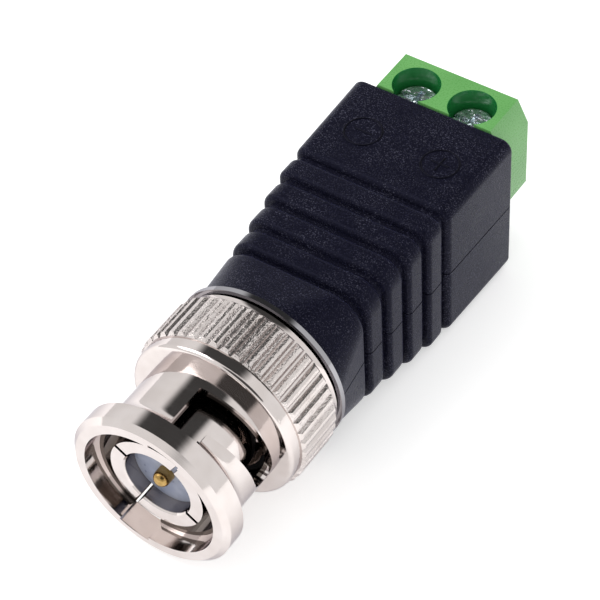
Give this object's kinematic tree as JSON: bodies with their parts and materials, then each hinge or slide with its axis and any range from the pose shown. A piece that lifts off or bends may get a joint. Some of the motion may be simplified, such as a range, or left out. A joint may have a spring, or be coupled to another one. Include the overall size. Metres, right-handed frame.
{
  "type": "coaxial terminal block adapter",
  "caption": "Adapter from a bayonet coax plug to a screw terminal block, in a ribbed black housing, for camera and alarm wiring",
  "frame": {"origin": "centre of the contact sleeve's front face", "axes": "Y is the plug's axis, its mouth faces -Y and the terminal block +Y; +Z is the side with the terminal screws"},
  "size_m": [0.0148, 0.0429, 0.0148],
  "materials": {
    "nickel_plate": "bright nickel plate on turned brass",
    "gold_plate": "gold plate",
    "spring_steel": "plain spring steel",
    "zinc_plated_steel": "bright zinc plate",
    "tinned_copper": "tin plate on copper",
    "black_plastic": "moulded black plastic with a fine texture",
    "green_plastic": "moulded green plastic, satin",
    "clear_insulator": "pale translucent insulator",
    "gasket_rubber": "soft black rubber",
    "red_insulation": "red wire insulation",
    "black_insulation": "black wire insulation"
  },
  "bodies": {
    "housing": {"upper_shell": "black_plastic", "lower_shell": "black_plastic", "cover_ring": "nickel_plate", "plug_body": "nickel_plate", "contact_sleeve": "nickel_plate", "front_insulator": "clear_insulator", "rear_insulator": "clear_insulator", "centre_pin": "gold_plate", "gasket": "gasket_rubber", "wave_washer": "spring_steel", "terminal_block": "green_plastic", "ground_tag": "tinned_copper", "signal_lead": "red_insulation", "ground_lead": "black_insulation", "contact_leaf_left": "tinned_copper", "contact_leaf_right": "tinned_copper"},
    "nut_carrier": {"thrust_washer": "nickel_plate"},
    "nut": {"coupling_nut": "nickel_plate", "retaining_ring": "spring_steel"},
    "screw_left": {"terminal_screw_left": "zinc_plated_steel"},
    "cage_left": {"clamp_cage_left": "nickel_plate"},
    "screw_right": {"terminal_screw_right": "zinc_plated_steel"},
    "cage_right": {"clamp_cage_right": "nickel_plate"}
  },
  "joints": [
    {"name": "nut_slide", "type": "slide", "parent": "housing", "child": "nut_carrier", "axis": [0, -1, 0], "range_m": [0, 0.0008], "stiffness_N_per_m": 2000, "deforming": ["wave_washer"]},
    {"name": "nut_spin", "type": "hinge", "parent": "nut_carrier", "child": "nut", "pos_m": [0, 0.0055, 0], "axis": [0, 1, 0], "continuous": true},
    {"name": "screw_turn_left", "type": "hinge", "parent": "housing", "child": "screw_left", "pos_m": [-0.00254, 0.03925, 0.0035], "axis": [0, 0, -1], "range_deg": [0, 648]},
    {"name": "cage_rise_left", "type": "slide", "parent": "housing", "child": "cage_left", "axis": [0, 0, 1], "range_m": [0, 0.0009]},
    {"name": "screw_turn_right", "type": "hinge", "parent": "housing", "child": "screw_right", "pos_m": [0.00254, 0.03925, 0.0035], "axis": [0, 0, -1], "range_deg": [0, 648]},
    {"name": "cage_rise_right", "type": "slide", "parent": "housing", "child": "cage_right", "axis": [0, 0, 1], "range_m": [0, 0.0009]}
  ],
  "couplings": [
    {"joint": "screw_turn_left", "follows": "cage_rise_left", "rad_per_m": 12566},
    {"joint": "screw_turn_right", "follows": "cage_rise_right", "rad_per_m": 12566}
  ]
}
